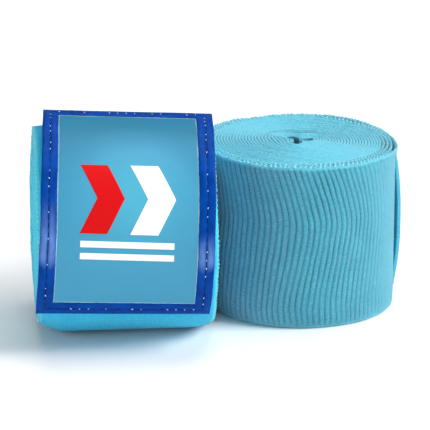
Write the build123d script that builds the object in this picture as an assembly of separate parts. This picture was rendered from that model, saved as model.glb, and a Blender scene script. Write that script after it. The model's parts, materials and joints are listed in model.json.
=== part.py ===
from build123d import *
import os
from math import cos, degrees, radians, sin

# A pair of elastic hand wraps, each a long band rolled up for storage and held by a hook-and-loop
# closure. Every wrap is built standing on end in its own frame: the roll's axis is Z, the band's
# outer end is at 0 degrees, and the band winds inwards anticlockwise from there.

# The band, and how tightly each wrap is rolled
BAND_WIDTH = 50.8
BAND_THICKNESS = 0.8
ROLLS = {
    "lying": {"radius": 31.4, "pitch": 1.0, "half_turns": 52},
    "standing": {"radius": 30.1, "pitch": 0.93, "half_turns": 54},
}

# Where the two rolls are, and how far each is turned about its own axis
STANDING_OFFSET = Vector(56.3, 18.9, 0)
LYING_TURN = 190.3
STANDING_TURN = 116.5

# The closure: its root overlaps the band's end, it grips the roll, and its free end lifts a little
ROOT_ANGLE = 23.0
GRIP_SWEEP = 87.0
LIFT_SWEEP = 38.0
LIFT_EXTRA = 4.0
FULL_SWEEP = GRIP_SWEEP + LIFT_SWEEP
CLOSURE_WIDTH = 50.4
CLOSURE_SHIFT = -0.15

# Layers, from the roll outwards
GAP = 0.05
HOOK_THICKNESS = 0.8
BACKING_THICKNESS = 0.5
LABEL_THICKNESS = 0.5
BINDING_THICKNESS = 0.35
MARK_THICKNESS = 0.12

# The two fastening panels, as degrees along the closure from its root
PANEL_START = 27.0
HOOK_STOP = 118.0
LOOP_STOP = 96.0
LOOP_WIDTH = 40.0
HOOK_WIDTH = 38.0
BINDING_WIDTH = 4.8

# Stitching
STITCH_WIDTH = 0.35
STITCH_LENGTH = 1.7
STITCH_PITCH = 2.5
PANEL_STITCH_PITCH = 4.0
PANEL_STITCH_INSET = 1.6
STITCH_PROUD = 0.12

# The thumb loop: a tape loop pressed flat, then folded zigzag inside the core
THUMB_WIDTH = 22.0
THUMB_TAPE = 0.5
THUMB_SLIT = 0.1
THUMB_LEGS = (3.2, 5.2, 6.0, 5.2, 3.2)
THUMB_RISE = 1.24
THUMB_REACH = THUMB_LEGS[2] / 2 + THUMB_RISE / 2 + THUMB_TAPE + THUMB_SLIT / 2
THUMB_ANGLE = -25.0
TACK_COUNT = 6
TACK_PITCH = 2.4

# The generic mark on the label: a red and a white chevron over two white bars
MARK_ANGLE = 64.0
CHEVRON_WIDTH = 13.0
CHEVRON_HEIGHT = 21.0
CHEVRON_STROKE = 8.0
CHEVRON_SPACING = 14.6
BAR_LENGTH = 27.0
BAR_HEIGHT = 1.9
BAR_DROPS = (13.6, 17.2)


def heading(angle):
    return Vector(cos(radians(angle)), sin(radians(angle)), 0)


def extruded(edges, low, high):
    return Pos(0, 0, low) * extrude(make_face(edges), amount=high - low, dir=(0, 0, 1))


class Wrap:
    """One wrap's solids, in its own frame."""

    def __init__(self, radius, pitch, half_turns):
        self.radius = radius
        self.step = pitch / 2
        self.half_turns = half_turns
        self.middle = BAND_WIDTH / 2
        self.closure_middle = self.middle + CLOSURE_SHIFT
        # The turn under the closure is the second half turn, so the closure shares its centre.
        self.grip_centre = Vector(-self.step, 0, 0)
        self.lift_centre = self.grip_centre - LIFT_EXTRA * heading(ROOT_ANGLE - GRIP_SWEEP)
        self.under = radius - self.step
        self.loop_inner = self.under + GAP
        self.hook_inner = self.radius + self.step + GAP
        self.loop_outer = self.hook_inner - GAP
        self.backing_inner = self.hook_inner + HOOK_THICKNESS
        self.label_inner = self.backing_inner + BACKING_THICKNESS
        self.label_outer = self.label_inner + LABEL_THICKNESS
        self.binding_outer = self.label_outer + BINDING_THICKNESS
        self.hinge_radius = (self.hook_inner + self.binding_outer) / 2

    # The band is a two-centre spiral of half circles, each tangent to the last.
    def spiral(self, depth):
        arcs = []
        for half in range(self.half_turns):
            odd = half % 2
            centre = (-self.step * odd, 0)
            arcs.append(CenterArc(centre, self.radius - depth - half * self.step, 180 * odd, 180))
        return arcs

    def band(self):
        outside = self.spiral(0)
        inside = self.spiral(BAND_THICKNESS)
        outer_end = Line(outside[0] @ 0, inside[0] @ 0)
        inner_end = Line(outside[-1] @ 1, inside[-1] @ 1)
        return extruded(outside + [inner_end] + inside + [outer_end], 0, BAND_WIDTH)

    # A point of the closure's section: degrees along it from the root, and a radius on its grip arc.
    def point(self, along, radius):
        if along > GRIP_SWEEP:
            return self.lift_centre + (radius + LIFT_EXTRA) * heading(ROOT_ANGLE - along)
        return self.grip_centre + radius * heading(ROOT_ANGLE - along)

    def run(self, radius, start, stop):
        stops = [start, stop]
        if start < GRIP_SWEEP < stop:
            stops = [start, GRIP_SWEEP, stop]
        arcs = []
        for first, last in zip(stops, stops[1:]):
            through = self.point((first + last) / 2, radius)
            arcs.append(ThreePointArc(self.point(first, radius), through, self.point(last, radius)))
        return arcs

    def layer(self, inner, outer, start, stop, width):
        ends = [Line(self.point(along, inner), self.point(along, outer)) for along in (start, stop)]
        edges = self.run(outer, start, stop) + self.run(inner, start, stop) + ends
        middle = self.closure_middle
        return extruded(edges, middle - width / 2, middle + width / 2)

    # A block centred in a layer's thickness: X follows the closure, Y the roll's axis, Z points out.
    def block(self, along, height, radius, size):
        frame = Plane(
            origin=self.point(along, radius) + Vector(0, 0, height),
            x_dir=heading(ROOT_ANGLE - along - 90),
            z_dir=heading(ROOT_ANGLE - along),
        )
        return frame * Box(*size)

    # Stitches round a rectangle, parallel to its sides, through the layers from inner to outer.
    def stitch_row(self, inner, outer, start, stop, width, pitch):
        middle = (inner + outer) / 2
        depth = outer - inner
        rise = degrees(pitch / middle)
        solids = []
        count = int((stop - start) / rise)
        first = (start + stop - (count - 1) * rise) / 2
        for number in range(count):
            for side in (-1, 1):
                height = self.closure_middle + side * width / 2
                along = first + number * rise
                solids.append(self.block(along, height, middle, (STITCH_LENGTH, STITCH_WIDTH, depth)))
        count = int((width - pitch) / pitch)
        for number in range(count):
            height = self.closure_middle + (number - (count - 1) / 2) * pitch
            for along in (start, stop):
                solids.append(self.block(along, height, middle, (STITCH_WIDTH, STITCH_LENGTH, depth)))
        return Compound(children=solids)

    def loop_panel(self):
        return self.layer(self.loop_inner, self.loop_outer, PANEL_START, LOOP_STOP, LOOP_WIDTH)

    def backing(self):
        body = self.layer(self.backing_inner, self.label_inner, 0, FULL_SWEEP, CLOSURE_WIDTH)
        # The root end is turned under, down to the band's end.
        turned = self.layer(self.hook_inner, self.backing_inner, 0, ROOT_ANGLE - 3, CLOSURE_WIDTH - 2)
        return body + turned

    # Cuts a strip along a corner's diagonal, keeping the side that holds the point `kept`.
    def mitre(self, strip, end, side, kept):
        width = degrees(BINDING_WIDTH / self.binding_outer)
        inward = width if end == 0 else -width
        height = self.closure_middle + side * CLOSURE_WIDTH / 2
        outer = self.point(end, self.binding_outer) + Vector(0, 0, height)
        inner = self.point(end + inward, self.binding_outer) + Vector(0, 0, height - side * BINDING_WIDTH)
        normal = (inner - outer).cross(heading(ROOT_ANGLE - end - inward / 2)).normalized()
        if (kept - outer).dot(normal) < 0:
            normal = -normal
        return split(strip, bisect_by=Plane(origin=outer + normal * GAP / 2, z_dir=normal), keep=Keep.TOP)

    def side_binding(self, side):
        shift = side * (CLOSURE_WIDTH - BINDING_WIDTH) / 2
        strip = self.layer(self.label_outer, self.binding_outer, 0, FULL_SWEEP, BINDING_WIDTH)
        strip = Pos(0, 0, shift) * strip
        kept = self.point(FULL_SWEEP / 2, self.binding_outer) + Vector(0, 0, self.closure_middle + shift)
        for end in (0, FULL_SWEEP):
            strip = self.mitre(strip, end, side, kept)
        return strip

    def end_binding(self, end):
        width = degrees(BINDING_WIDTH / self.binding_outer)
        start = 0 if end == 0 else FULL_SWEEP - width
        strip = self.layer(self.label_outer, self.binding_outer, start, start + width, CLOSURE_WIDTH)
        kept = self.point(end, self.binding_outer) + Vector(0, 0, self.closure_middle)
        for side in (-1, 1):
            strip = self.mitre(strip, end, side, kept)
        return strip

    # A flat shape laid on the label: X runs along the roll's axis, Y towards the free end.
    def printed(self, shape):
        out = heading(ROOT_ANGLE - MARK_ANGLE)
        origin = self.point(MARK_ANGLE, self.label_outer - 8) + Vector(0, 0, self.closure_middle)
        ink = extrude(Plane(origin=origin, x_dir=(0, 0, 1), z_dir=out) * shape, amount=12)
        skin = self.layer(self.label_outer, self.label_outer + MARK_THICKNESS, 8, FULL_SWEEP - 8, 41)
        return skin & ink

    def chevron(self, side):
        half = CHEVRON_HEIGHT / 2
        tip = CHEVRON_WIDTH - CHEVRON_STROKE
        outer = [(0, half), (CHEVRON_STROKE, half), (CHEVRON_WIDTH, 0), (CHEVRON_STROKE, -half)]
        inner = [(0, -half), (tip, 0)]
        outline = Polyline(*outer, *inner, close=True)
        shape = Pos(side * CHEVRON_SPACING / 2 - CHEVRON_WIDTH / 2, 0) * make_face(outline)
        return self.printed(shape)

    def white_mark(self):
        solids = self.chevron(1).solids()
        for drop in BAR_DROPS:
            solids += self.printed(Pos(0, -drop) * Rectangle(BAR_LENGTH, BAR_HEIGHT)).solids()
        return Compound(children=list(solids))

    # The zigzag's middle line, shortened at both ends. Its legs run along X and rise along Y.
    def zigzag(self, short):
        x = THUMB_LEGS[2] / 2 - THUMB_LEGS[1] + THUMB_LEGS[0]
        y = -2 * THUMB_RISE
        lines = []
        for number, leg in enumerate(THUMB_LEGS):
            way = -1 if number % 2 == 0 else 1
            first = short if number == 0 else 0
            last = short if number == len(THUMB_LEGS) - 1 else 0
            lines.append(Line((x + way * first, y), (x + way * (leg - last), y)))
            x += way * leg
            if number < len(THUMB_LEGS) - 1:
                turn = (x + way * THUMB_RISE / 2, y + THUMB_RISE / 2)
                lines.append(ThreePointArc((x, y), turn, (x, y + THUMB_RISE)))
            y += THUMB_RISE
        return lines

    # X points from the core's middle to the inner turn that the loop is sewn to.
    def thumb_frame(self):
        core = self.radius - (self.half_turns - 1) * self.step - BAND_THICKNESS
        shift = core - GAP - THUMB_REACH
        return Pos(*self.grip_centre + shift * heading(THUMB_ANGLE)) * Rot(Z=THUMB_ANGLE)

    def thumb_loop(self):
        width = 2 * THUMB_TAPE + THUMB_SLIT
        ring = trace(self.zigzag(0), width) - trace(self.zigzag(THUMB_TAPE), THUMB_SLIT)
        drop = Pos(0, THUMB_RISE / 2, self.middle - THUMB_WIDTH / 2)
        return self.thumb_frame() * drop * extrude(ring, amount=THUMB_WIDTH)

    def thumb_tack(self):
        length = THUMB_TAPE + GAP + BAND_THICKNESS
        frame = self.thumb_frame()
        offset = THUMB_REACH - THUMB_TAPE + length / 2
        solids = []
        for number in range(TACK_COUNT):
            height = self.middle + (number - (TACK_COUNT - 1) / 2) * TACK_PITCH
            solids.append(frame * Pos(offset, 0, height) * Box(length - 0.1, STITCH_WIDTH, STITCH_LENGTH))
        return Compound(children=solids)

    def pieces(self):
        inset = degrees(BINDING_WIDTH / 2 / self.binding_outer)
        hem = degrees(PANEL_STITCH_INSET / self.under)
        edge = 2 * PANEL_STITCH_INSET
        return {
            "band": self.band(),
            "thumb_loop": self.thumb_loop(),
            "thumb_loop_stitches": self.thumb_tack(),
            "loop_panel": self.loop_panel(),
            "loop_panel_stitches": self.stitch_row(
                self.under - BAND_THICKNESS + GAP, self.loop_outer - GAP,
                PANEL_START + hem, LOOP_STOP - hem, LOOP_WIDTH - edge, PANEL_STITCH_PITCH),
            "closure_backing": self.backing(),
            "hook_panel": self.layer(
                self.hook_inner, self.backing_inner, PANEL_START, HOOK_STOP, HOOK_WIDTH),
            "hook_panel_stitches": self.stitch_row(
                self.hook_inner + GAP, self.label_inner - GAP,
                PANEL_START + hem, HOOK_STOP - hem, HOOK_WIDTH - edge, PANEL_STITCH_PITCH),
            "label_face": self.layer(self.label_inner, self.label_outer, 0, FULL_SWEEP, CLOSURE_WIDTH),
            "label_mark_red": self.chevron(-1),
            "label_mark_white": self.white_mark(),
            "binding_left": self.side_binding(-1),
            "binding_right": self.side_binding(1),
            "binding_free": self.end_binding(FULL_SWEEP),
            "binding_root": self.end_binding(0),
            "binding_stitches": self.stitch_row(
                self.backing_inner + GAP, self.binding_outer + STITCH_PROUD,
                inset, FULL_SWEEP - inset, CLOSURE_WIDTH - BINDING_WIDTH, STITCH_PITCH),
        }


lying = Wrap(**ROLLS["lying"])
standing = Wrap(**ROLLS["standing"])

# The lying roll's axis is +X and its middle is at the working origin; both rolls rest on z = 0.
LYING_PLACE = Plane(origin=(0, 0, ROLLS["lying"]["radius"]), x_dir=(0, 1, 0), z_dir=(1, 0, 0)).location
LYING_PLACE = LYING_PLACE * Rot(Z=LYING_TURN) * Pos(0, 0, -BAND_WIDTH / 2)
STANDING_PLACE = Pos(*STANDING_OFFSET) * Rot(Z=STANDING_TURN)

placed = {}
for prefix, wrap, place in (("lying", lying, LYING_PLACE), ("standing", standing, STANDING_PLACE)):
    for name, solid in wrap.pieces().items():
        placed[prefix + "_" + name] = place * solid

# The origin is the middle of the pair's footprint, on the ground.
boxes = [solid.bounding_box() for solid in placed.values()]
low = Vector(min(box.min.X for box in boxes), min(box.min.Y for box in boxes), 0)
high = Vector(max(box.max.X for box in boxes), max(box.max.Y for box in boxes), 0)
shift = Pos(*(low + high) * -0.5)

os.makedirs("parts", exist_ok=True)
for name, solid in placed.items():
    solids = (shift * solid).solids()
    export_step(solids[0] if len(solids) == 1 else Compound(solids), f"parts/{name}.step")

# The two hinge lines, for the joints
for name, wrap, place in (("lying", lying, LYING_PLACE), ("standing", standing, STANDING_PLACE)):
    line = shift * place * Pos(*wrap.point(0, wrap.hinge_radius))
    print(name, "hinge", [round(v, 3) for v in line.position], "roll axis", (shift * place).position)
print("size", high - low)
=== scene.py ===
import json
import math

import bmesh
import bpy
import numpy as np
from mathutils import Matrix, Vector


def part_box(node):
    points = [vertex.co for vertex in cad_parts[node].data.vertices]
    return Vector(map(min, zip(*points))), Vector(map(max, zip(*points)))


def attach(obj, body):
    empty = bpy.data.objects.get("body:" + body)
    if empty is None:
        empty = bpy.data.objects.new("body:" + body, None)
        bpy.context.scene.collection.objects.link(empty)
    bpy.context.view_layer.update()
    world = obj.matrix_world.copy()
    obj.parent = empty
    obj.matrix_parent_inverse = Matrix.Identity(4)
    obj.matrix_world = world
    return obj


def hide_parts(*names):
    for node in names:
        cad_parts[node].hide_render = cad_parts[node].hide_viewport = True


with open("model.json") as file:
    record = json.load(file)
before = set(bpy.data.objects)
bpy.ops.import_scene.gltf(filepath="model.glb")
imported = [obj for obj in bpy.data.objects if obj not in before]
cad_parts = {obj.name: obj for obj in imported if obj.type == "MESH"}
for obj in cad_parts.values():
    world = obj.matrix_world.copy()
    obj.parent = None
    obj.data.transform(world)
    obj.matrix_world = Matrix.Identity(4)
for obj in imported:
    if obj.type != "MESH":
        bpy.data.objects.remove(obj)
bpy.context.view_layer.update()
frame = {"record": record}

# All shapes are worked out in millimetres and degrees, and scaled once, where a mesh is made.
MM = 0.001

# ---- the CAD part's dimensions
BAND_WIDTH = 50.8
BAND_THICKNESS = 0.8
ROOT_ANGLE = 23.0
GRIP_SWEEP = 87.0
LIFT_SWEEP = 38.0
LIFT_EXTRA = 4.0
CLOSURE_WIDTH = 50.4
CLOSURE_SHIFT = -0.15
GAP = 0.05
HOOK_THICKNESS = 0.8
BACKING_THICKNESS = 0.5
LABEL_THICKNESS = 0.5
BINDING_THICKNESS = 0.35
BINDING_WIDTH = 4.8
STITCH_PITCH = 2.5
PANEL_START, HOOK_STOP, LOOP_STOP = 27.0, 118.0, 96.0
LOOP_WIDTH, HOOK_WIDTH = 40.0, 38.0
PANEL_STITCH_PITCH, PANEL_STITCH_INSET = 4.0, 1.6
MARK_ANGLE = 64.0
CHEVRON_WIDTH, CHEVRON_HEIGHT, CHEVRON_STROKE, CHEVRON_SPACING = 13.0, 21.0, 8.0, 14.6
BAR_LENGTH, BAR_HEIGHT, BAR_DROPS = 27.0, 1.9, (13.6, 17.2)
THUMB_WIDTH, THUMB_TAPE, THUMB_SLIT, THUMB_RISE, THUMB_ANGLE = 22.0, 0.5, 0.1, 1.24, -25.0
THUMB_LEGS = (3.2, 5.2, 6.0, 5.2, 3.2)
TACK_COUNT, TACK_PITCH = 6, 2.4

# ---- details of the cloth
RIB_PITCH = 1.76             # between the folds across the outermost turn
CORE_REACH = 5.0             # radius of the band's core
EDGE_BEAD = 1.5              # between the loops of yarn along the selvedge
FOLDED_TURN = 400.0          # how far from its outer end the band is drawn with its folds
FINE_STEP, COARSE_STEP = RIB_PITCH / 8, 0.56
BAND_RIM = 0.28              # how far the rounding of the band's edges reaches in
PAINTED_SHADE_ZONE = (205, 75)      # middle and half width of the side of the standing band painted with the greyer colour of shade
EDGE = CLOSURE_WIDTH / 2
SEAM = BINDING_WIDTH / 2
PANEL_STITCH_LENGTH = 2.6
BINDING_STITCH_LENGTH = 1.7
BINDING_THREAD, GLINT_THREAD, PANEL_THREAD, TACK_THREAD = 0.13, 0.14, 0.12, 0.14    # radii
HOOK_RADIUS, HOOK_STEP, HOOK_ROW, HOOK_MARGINS = 0.09, 1.7, 1.3, (2.6, 2.4)
THUMB_PRESS = 0.97           # how far the thumb loop's folds are pressed together
PRINT_RAISE, PRINT_EDGE = 0.02, 0.10
# Threads and hooks as curves: how far along, in lengths or mm, and how high or deep, in mm or shares
STITCH_ALONG = np.array([-0.5, -0.46, -0.34, 0.0, 0.34, 0.46, 0.5])
STITCH_LIFT = np.array([-1.0, -0.35, 0.0, 0.06, 0.0, -0.35, -1.0])
LOOP_STITCH_ALONG = np.array([-0.5, -0.44, -0.3, 0.0, 0.3, 0.44, 0.5])
LOOP_STITCH_LIFT = np.array([-0.3, -0.1, 0.0, 0.03, 0.0, -0.1, -0.3])
TACK_ALONG = np.array([-0.85, -0.8, -0.5, 0.0, 0.5, 0.8, 0.85])
TACK_LIFT = np.array([0.2, -0.02, -0.1, -0.13, -0.1, -0.02, 0.2])
HOOK_ALONG = np.array([0.0, 0.0, 0.10, 0.30, 0.46, 0.46])
HOOK_DEPTH = np.array([0.0, -0.24, -0.40, -0.46, -0.36, -0.24])
# The tape's section: distance in from the closure's edge, and height over the label's face
TAPE_TOP = [(4.80, 0.03), (4.76, 0.16), (4.6, 0.26), (4.2, 0.31), (3.7, 0.33), (3.2, 0.34), (2.9, 0.33),
            (2.62, 0.28), (2.4, 0.21), (2.18, 0.28), (1.9, 0.33), (1.6, 0.34), (1.1, 0.34), (0.62, 0.31),
            (0.26, 0.24), (0.06, 0.12), (0.0, 0.02)]
TAPE_UNDER = [(0.06, -0.05), (0.9, -0.01), (2.4, 0.012), (3.8, 0.012), (4.74, 0.012)]


def heading(deg):
    rad = np.radians(deg)
    return np.cos(rad), np.sin(rad)


def smooth(x):
    x = np.clip(x, 0.0, 1.0)
    return x * x * (3 - 2 * x)


def window(angle, centre, half_width):
    """1 at the middle of a range of angles, falling smoothly to 0 at its ends."""
    away = np.abs((np.asarray(angle) - centre + 180) % 360 - 180)
    return smooth(1 - away / half_width)


def wander(x, seed, scale):
    """Smooth repeatable noise in one variable, about -1 to 1."""
    x = np.asarray(x, float) / scale
    out = np.zeros_like(x)
    for k in range(1, 5):
        out += np.sin(x * (0.61 + 0.83 * k) + 2.39 * seed * k + k * k) / k ** 0.7
    return out / 2.2


def noise2(x, y, seed):
    """Smooth repeatable noise in two variables, about -1 to 1."""
    out = np.zeros(np.broadcast(x, y).shape)
    for k in range(1, 6):
        a = 1.7 * k + seed * 0.77
        pace = 0.5 + 0.31 * k
        out += np.sin(x * math.cos(a) * pace + y * math.sin(a) * pace + a * a) / k ** 0.5
    return out / 2.4


def hashed(n, seed=0.0):
    """A repeatable value from 0 to 1 for each whole number."""
    v = np.sin(np.asarray(n, float) * 127.1 + seed * 311.7) * 43758.5453
    return v - np.floor(v)


def spaced(length, step, rim):
    """Positions from 0 to length, a step apart, with closer ones inside each rim."""
    edge = np.array([0, 0.12, 0.35, 0.7, 1.0]) * rim
    count = max(2, int(round((length - 2 * rim) / step)) + 1)
    return np.concatenate([edge[:-1], np.linspace(rim, length - rim, count), (length - edge[:-1])[::-1]])


def rounded(distance, rim):
    """0 at an edge, rising as a quarter circle to 1 at rim from it."""
    x = np.clip(distance / rim, 0, 1)
    return np.sqrt(np.clip(1 - (1 - x) ** 2, 0, 1))


# ---- the wraps

class Roll:
    """One wrap: its CAD numbers, how it is worn, and the way from its own frame to the row frame."""

    def __init__(self, name, radius, pitch, half_turns, turn, axes, start, **worn):
        self.name, self.body, self.flap = name, name + "_roll", name + "_closure"
        self.radius, self.pitch, self.half_turns, self.turn = radius, pitch, half_turns, turn
        self.step = pitch / 2
        self.under = radius - self.step
        self.loop_inner = self.under + GAP
        self.hook_inner = radius + self.step + GAP
        self.loop_outer = self.hook_inner - GAP
        self.backing_inner = self.hook_inner + HOOK_THICKNESS
        self.label_inner = self.backing_inner + BACKING_THICKNESS
        self.label_outer = self.label_inner + LABEL_THICKNESS
        self.axes = np.array(axes, float)
        joints = frame["record"]["behaviour"]["joints"]
        joint = next(j for j in joints if j["name"] == name + "_closure_peel")
        reach = (self.hook_inner + self.label_outer + BINDING_THICKNESS) / 2
        c, s = heading(ROOT_ANGLE)
        hinge = self.turned(-self.step + reach * c, reach * s, 0.0)
        self.origin = np.array(joint["pos_m"]) / MM - hinge
        self.origin = self.origin + self.axes[2] * (start - self.origin @ self.axes[2])
        self.grip_length = math.radians(GRIP_SWEEP) * self.label_outer
        self.length = self.grip_length + math.radians(LIFT_SWEEP) * (self.label_outer + LIFT_EXTRA)
        for key, value in worn.items():
            setattr(self, key, value)

    def turned(self, x, y, z):
        c, s = heading(self.turn)
        x, y, z = np.broadcast_arrays(np.asarray(x, float), y, z)
        return np.stack([c * x - s * y, s * x + c * y, z], -1) @ self.axes

    def world(self, x, y, z):
        return self.turned(x, y, z) + self.origin

    def half_turn(self, phi):
        """The number of the half circle that an angle along the band is on."""
        return np.clip(np.floor(phi / 180), 0, self.half_turns - 1)

    def degrees(self, along):
        """Degrees along the closure from its root, for a length along the label's face."""
        grip = np.degrees(along / self.label_outer)
        lift = GRIP_SWEEP + np.degrees((along - self.grip_length) / (self.label_outer + LIFT_EXTRA))
        return np.where(along < self.grip_length, grip, lift)

    def along(self, deg):
        if deg <= GRIP_SWEEP:
            return math.radians(deg) * self.label_outer
        return self.grip_length + math.radians(deg - GRIP_SWEEP) * (self.label_outer + LIFT_EXTRA)

    def on_closure(self, along, height, radius, lift=LIFT_EXTRA):
        """A point of the closure: length from the root, height from its middle line, grip radius."""
        c, s = heading(ROOT_ANGLE - self.degrees(along))
        jc, js = heading(ROOT_ANGLE - GRIP_SWEEP)
        lift = np.where(along < self.grip_length, 0.0, lift)
        x = -self.step - lift * jc + (radius + lift) * c
        y = -lift * js + (radius + lift) * s
        return self.world(x, y, BAND_WIDTH / 2 + CLOSURE_SHIFT + height)

    def on_roll(self, along, height, radius):
        """A point of the panel under the closure, which follows the roll all the way."""
        return self.on_closure(along, height, radius, 0.0)


# How a band is worn. Angles are bearings on the roll; a pair is for its low and its high end.
#   eye, eye_turn, eye_fade: how far the core's mouth is drawn into three corners, its bearing, its reach
#   dome, proud, tilt: how far the ends bulge and stand out, and waves as (bearing, half width, height)
#   gaps, gap_fade: open gaps as (radius, bearing, half width, slack), and how far inwards they are felt
#   round_*, ease_at: how far the outer turns' edges are worn in, over what height and how many turns,
#     and the share and place where they are not
#   flare, flare_angle: how far the upper edge turns outwards, and where
#   seat: how far the turns sink under the corner of the closure's root
#   rib_zone, rib_height, rib_floor, lean: where the folds stand, how high, and how far they lean over
#   painted_shade_grey, picot_turns: how much of one side is painted with the greyer colour of shade, and
#       how many turns show yarn loops
# How a closure is worn.
#   slant, squeeze, shift, nip: its turn on the roll, its width, its place, and its narrowing at the top
#   hug, droop, hem: how far its free corners lie in, how far one hangs, and the width of a rolled hem
#   wave_seed: which waves it has
LYING = Roll(
    "lying", 31.4, 1.0, 52, 190.3, [(0, 1, 0), (0, 0, 1), (1, 0, 0)],
    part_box("lying_band")[0][0] / MM,
    eye=0.4, eye_turn=105.0, eye_fade=3.0, dome=(1.3, 1.0), proud=(0.0, 1.3), tilt=((), ()),
    gaps=[(12.0, 60, 50, 0.5), (24.0, 200, 60, 0.35)], gap_fade=5.0,
    round_depth=(3.2, 1.7), round_reach=(8.0, 5.0), round_turns=10.0, round_ease=0.97, ease_at=(105, 130),
    flare=0.0, flare_angle=0.0, seat=0.85,
    rib_zone=(0, 360), rib_height=0.1, rib_floor=0.08, lean=1.5, painted_shade_grey=0.0, picot_turns=2.0,
    slant=0.045, squeeze=1.024, shift=0.6, nip=0.045, hug=0.0, droop=0.034, hem=0.0, wave_seed=7.5)
STANDING = Roll(
    "standing", 30.1, 0.93, 54, 116.5, [(1, 0, 0), (0, 1, 0), (0, 0, 1)],
    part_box("standing_band")[0][2] / MM,
    eye=1.9, eye_turn=312.0, eye_fade=5.0, dome=(0.0, 0.5), proud=(0.0, 0.0),
    tilt=((), ((180, 110, 0.75), (160, 50, 0.45), (60, 60, 0.75), (5, 80, -0.2), (353, 34, -0.5))),
    gaps=[(28.0, 52, 44, 1.1), (27.4, 130, 70, 0.5), (10.5, 92, 75, 1.3), (28.0, 318, 60, 0.6),
          (26.9, 350, 50, 0.5)], gap_fade=6.0,
    round_depth=(1.7, 0.25), round_reach=(5.0, 4.0), round_turns=6.0, round_ease=0.92, ease_at=(338, 90),
    flare=0.9, flare_angle=345.0, seat=0.0,
    rib_zone=(150, 338), rib_height=0.46, rib_floor=0.03, lean=5.4, painted_shade_grey=1.0, picot_turns=3.6,
    slant=0.0, squeeze=0.93, shift=-0.5, nip=0.0, hug=2.0, droop=0.0, hem=2.0, wave_seed=3.0)


# ---- mesh helpers

def make_object(name, points, faces, materials, fabric, values=None, index=None):
    """A closed piece in the row frame, with its place in the fabric and other values at each point."""
    mesh = bpy.data.meshes.new(name)
    points = np.asarray(points, float).reshape(-1, 3) * MM
    mesh.vertices.add(len(points))
    mesh.vertices.foreach_set("co", points.ravel())
    sizes = np.array([len(f) for f in faces])
    mesh.loops.add(int(sizes.sum()))
    mesh.loops.foreach_set("vertex_index", np.concatenate([np.asarray(f) for f in faces]).astype(np.int32))
    mesh.polygons.add(len(sizes))
    mesh.polygons.foreach_set("loop_start", np.concatenate([[0], np.cumsum(sizes)[:-1]]).astype(np.int32))
    if index is not None:
        mesh.polygons.foreach_set("material_index", np.asarray(index, np.int32))
    mesh.update(calc_edges=True)
    mesh.validate()
    mesh.polygons.foreach_set("use_smooth", np.ones(len(mesh.polygons), bool))
    layer = mesh.attributes.new("fabric", "FLOAT_VECTOR", "POINT")
    layer.data.foreach_set("vector", np.asarray(fabric, np.float32).ravel())
    for key, numbers in (values or {}).items():
        layer = mesh.attributes.new(key, "FLOAT", "POINT")
        layer.data.foreach_set("value", np.asarray(numbers, np.float32).ravel())
    for material in materials:
        mesh.materials.append(material)
    obj = bpy.data.objects.new(name, mesh)
    bpy.context.scene.collection.objects.link(obj)
    bm = bmesh.new()
    bm.from_mesh(mesh)
    bmesh.ops.recalc_face_normals(bm, faces=bm.faces)
    bm.to_mesh(mesh)
    bm.free()
    return obj


def dress(obj, node, body):
    """Carries a visible piece on its body, in place of its plain CAD node."""
    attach(obj, body)
    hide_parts(node)
    return obj


def ring_quads(count, width, start=0, closed=False):
    """Quads that join each ring of points to the next, and the last to the first where closed."""
    i, j = np.meshgrid(np.arange(count if closed else count - 1), np.arange(width), indexing="ij")
    a, b = i * width + j, i * width + (j + 1) % width
    on = ((i + 1) % count - i) * width
    return (start + np.stack([a, b, b + on, a + on], -1)).reshape(-1, 4).tolist()


def end_caps(count, width):
    """The two end faces of a closed tube of rings."""
    return [list(range(width))[::-1], [(count - 1) * width + k for k in range(width)]]


def sheet_object(name, along, height, upper, lower, material, values=None):
    """A closed sheet between two grids of points."""
    nu, nv = along.shape
    n = nu * nv
    i, j = np.meshgrid(np.arange(nu - 1), np.arange(nv - 1), indexing="ij")
    a = (i * nv + j).ravel()
    face = np.stack([a, a + nv, a + nv + 1, a + 1], -1)
    ring = np.concatenate([np.arange(nv - 1), np.arange(nu - 1) * nv + nv - 1,
                           (nu - 1) * nv + np.arange(nv - 1, 0, -1), np.arange(nu - 1, 0, -1) * nv])
    after = np.roll(ring, -1)
    quads = np.concatenate([face, face[:, ::-1] + n, np.stack([ring, after, after + n, ring + n], -1)])
    fabric = np.stack([along, height, np.zeros_like(along)], -1).reshape(-1, 3)
    twice = {key: np.concatenate([v.ravel(), v.ravel()]) for key, v in (values or {}).items()}
    points = np.concatenate([upper.reshape(-1, 3), lower.reshape(-1, 3)])
    return make_object(name, points, quads, [material], np.concatenate([fabric, fabric]), twice)


def tube(path, radius, sides):
    """Points of a closed tube with tapered ends along a path of points."""
    tangent = np.gradient(path, axis=0)
    tangent /= np.linalg.norm(tangent, axis=1)[:, None]
    side = np.cross(tangent, np.array([0.31, 0.52, 0.79]))
    side /= np.linalg.norm(side, axis=1)[:, None]
    up = np.cross(tangent, side)
    taper = np.ones(len(path))
    taper[0] = taper[-1] = 0.45
    angles = np.arange(sides) * 2 * math.pi / sides
    rings = path[:, None] + radius * taper[:, None, None] * (
        np.cos(angles)[None, :, None] * side[:, None] + np.sin(angles)[None, :, None] * up[:, None])
    return rings.reshape(-1, 3)


def tubes_object(name, paths, radii, materials, which=None, sides=6):
    """Tubes along paths, as one piece; which numbers each tube's material."""
    points, faces, index, at = [], [], [], 0
    for number, path in enumerate(paths):
        radius = radii if np.isscalar(radii) else radii[number]
        points.append(tube(path, radius, sides))
        own = ring_quads(len(path), sides) + end_caps(len(path), sides)
        faces += [[v + at for v in f] for f in own]
        index += [which[number] if which else 0] * len(own)
        at += len(points[-1])
    points = np.concatenate(points)
    return make_object(name, points, faces, materials, np.zeros_like(points), None, index)


# ---- materials

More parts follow.
